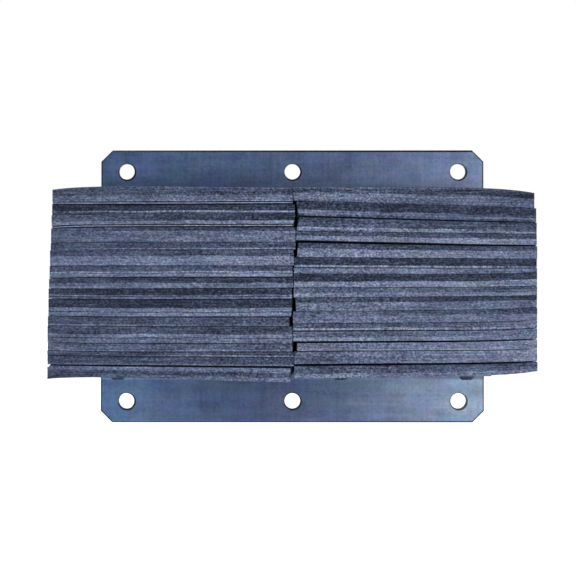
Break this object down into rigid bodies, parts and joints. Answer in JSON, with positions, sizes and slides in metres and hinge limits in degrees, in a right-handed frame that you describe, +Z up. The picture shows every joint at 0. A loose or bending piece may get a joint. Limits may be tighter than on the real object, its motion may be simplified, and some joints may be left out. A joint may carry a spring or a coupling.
{
  "type": "laminated dock bumper",
  "caption": "Laminated rubber loading-dock bumper: stacked tyre-carcass pads held on steel rods between two welded wall angles with bolt holes.",
  "frame": {"origin": "centre of the four corner anchor holes, on the wall plane", "axes": "+X along the laminations, +Z up across them, +Y into the wall, so the rubber face looks towards -Y"},
  "size_m": [0.508, 0.114, 0.304],
  "materials": {
    "tyre_rubber": "sawn, fibrous, matt",
    "steel": "blue-grey mill scale, satin",
    "rod": "plain drawn bar",
    "weld": "dark, rippled weld"
  },
  "bodies": {
    "root": {"upper_angle": "steel", "lower_angle": "steel", "left_outer_rod": "rod", "left_inner_rod": "rod", "right_inner_rod": "rod", "right_outer_rod": "rod", "upper_rod_welds": "weld", "lower_rod_welds": "weld", "left_pad_01": "tyre_rubber", "left_pad_02": "tyre_rubber", "left_pad_03": "tyre_rubber", "left_pad_04": "tyre_rubber", "left_pad_05": "tyre_rubber", "left_pad_06": "tyre_rubber", "left_pad_07": "tyre_rubber", "left_pad_08": "tyre_rubber", "left_pad_09": "tyre_rubber", "left_pad_10": "tyre_rubber", "left_pad_11": "tyre_rubber", "left_pad_12": "tyre_rubber", "left_pad_13": "tyre_rubber", "left_pad_14": "tyre_rubber", "left_pad_15": "tyre_rubber", "left_pad_16": "tyre_rubber", "right_pad_01": "tyre_rubber", "right_pad_02": "tyre_rubber", "right_pad_03": "tyre_rubber", "right_pad_04": "tyre_rubber", "right_pad_05": "tyre_rubber", "right_pad_06": "tyre_rubber", "right_pad_07": "tyre_rubber", "right_pad_08": "tyre_rubber", "right_pad_09": "tyre_rubber", "right_pad_10": "tyre_rubber", "right_pad_11": "tyre_rubber", "right_pad_12": "tyre_rubber", "right_pad_13": "tyre_rubber", "right_pad_14": "tyre_rubber", "right_pad_15": "tyre_rubber", "right_pad_16": "tyre_rubber"}
  },
  "joints": []
}
